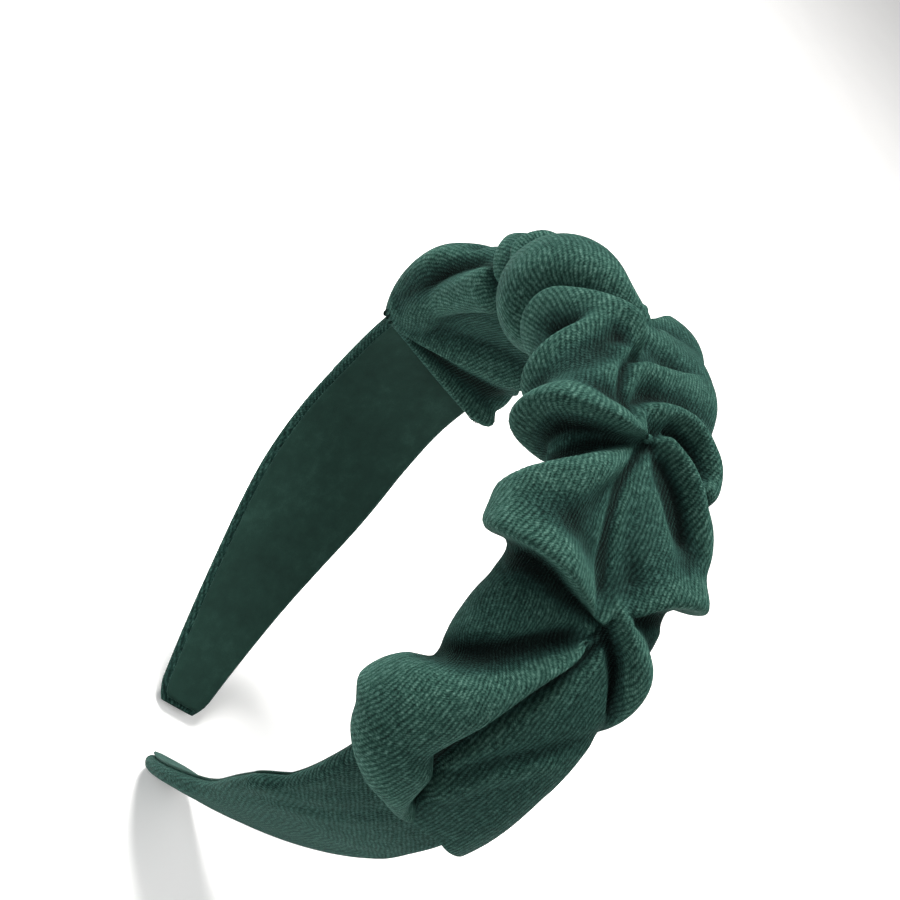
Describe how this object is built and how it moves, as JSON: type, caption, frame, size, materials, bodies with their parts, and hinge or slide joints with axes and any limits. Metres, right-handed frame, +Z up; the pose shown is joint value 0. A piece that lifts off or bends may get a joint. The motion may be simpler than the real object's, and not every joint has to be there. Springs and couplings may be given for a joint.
{
  "type": "ruched knit headband",
  "caption": "C-shaped padded headband in dark green ribbed knit, with a wide sleeve gathered into pleats over the crown and a smooth lining inside.",
  "frame": {"origin": "centre of the crown's inner arc, midway across the band", "axes": "+Z up through the top of the crown as worn, +X to one ear, +Y towards the back edge of the band, along the axis of the crown's arc"},
  "size_m": [0.1432, 0.0502, 0.163],
  "materials": {
    "hoop_plastic": "matte",
    "pad_foam": "matte",
    "rib_knit": "matte",
    "lining_velvet": "matte",
    "thread": "satin"
  },
  "bodies": {
    "root": {"hoop": "hoop_plastic", "foam_pad": "pad_foam", "knit_wrap": "rib_knit", "lining": "lining_velvet", "gathered_sleeve": "rib_knit", "centre_tacks": "thread", "end_tacks": "thread"}
  },
  "joints": []
}
